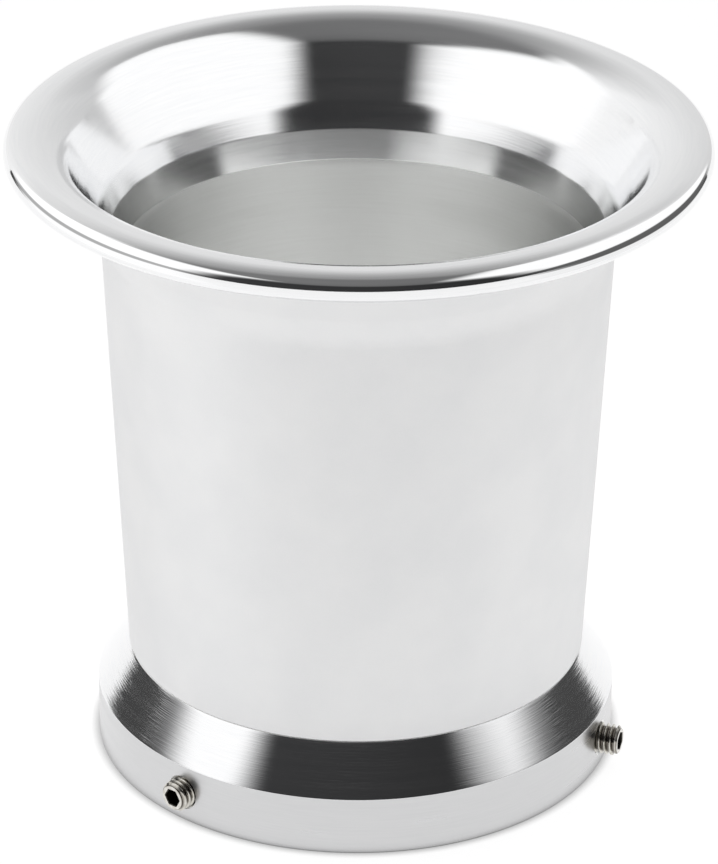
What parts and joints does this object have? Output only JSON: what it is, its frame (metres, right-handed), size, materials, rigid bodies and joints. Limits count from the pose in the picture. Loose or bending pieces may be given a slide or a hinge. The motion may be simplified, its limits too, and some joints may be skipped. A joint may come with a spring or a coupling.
{
  "type": "velocity stack",
  "caption": "Flared aluminium intake horn on a bevelled clamp collar; its bell gathers air into a tapered barrel, and socket grub screws grip a round spigot in the collar's bore.",
  "frame": {"origin": "centre of the collar's bottom rim, on the axis of the air passage", "axes": "+Z along the air passage from the collar up to the bell; -Y towards the picture's camera, +X to its right"},
  "size_m": [0.0852, 0.0852, 0.0812],
  "materials": {
    "horn_aluminium": "matt silver outside, polished bell and lip, satin turned bore",
    "collar_aluminium": "satin side, bright turned bevel with fine tool lines",
    "screw_steel": "bright stainless, rolled thread"
  },
  "bodies": {
    "stack": {"horn": "horn_aluminium", "clamp_collar": "collar_aluminium"},
    "screw_left": {"set_screw_left": "screw_steel"},
    "screw_right": {"set_screw_right": "screw_steel"},
    "screw_rear": {"set_screw_rear": "screw_steel"}
  },
  "joints": [
    {"name": "screw_left_travel", "type": "slide", "parent": "stack", "child": "screw_left", "axis": [0.6494, 0.7604, 0], "range_m": [-0.0035, 0.0018]},
    {"name": "screw_right_travel", "type": "slide", "parent": "stack", "child": "screw_right", "axis": [-0.9426, 0.3338, 0], "range_m": [-0.0027, 0.0026]},
    {"name": "screw_rear_travel", "type": "slide", "parent": "stack", "child": "screw_rear", "axis": [0.2588, -0.9659, 0], "range_m": [-0.0031, 0.0022]}
  ]
}
